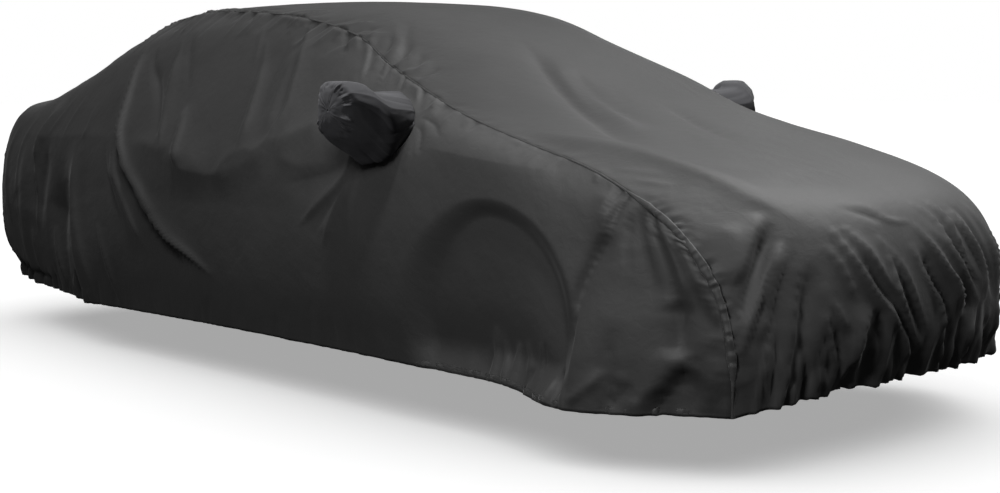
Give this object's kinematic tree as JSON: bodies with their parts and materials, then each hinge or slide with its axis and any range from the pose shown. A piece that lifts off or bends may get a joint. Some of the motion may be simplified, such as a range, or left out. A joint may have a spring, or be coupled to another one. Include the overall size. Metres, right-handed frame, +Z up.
{
  "type": "car cover",
  "caption": "Fitted outdoor car cover for a sedan, in dark woven cloth, draped as on the car, with door mirror pockets and an elastic hem.",
  "frame": {"origin": "on the inner face of the cloth in the middle of the roof, where the cover rests on the car", "axes": "+X to the front of the car, +Y to its left side, +Z up"},
  "size_m": [4.9455, 2.082, 1.2901],
  "materials": {
    "cover_cloth": "fine plain-woven polyester, satin, charcoal",
    "pocket_cloth": "fine plain-woven polyester, satin, charcoal"
  },
  "bodies": {
    "root": {"top_panel": "cover_cloth", "side_panel_right": "cover_cloth", "side_panel_left": "cover_cloth", "mirror_pocket_right": "pocket_cloth", "mirror_pocket_left": "pocket_cloth"}
  },
  "joints": []
}
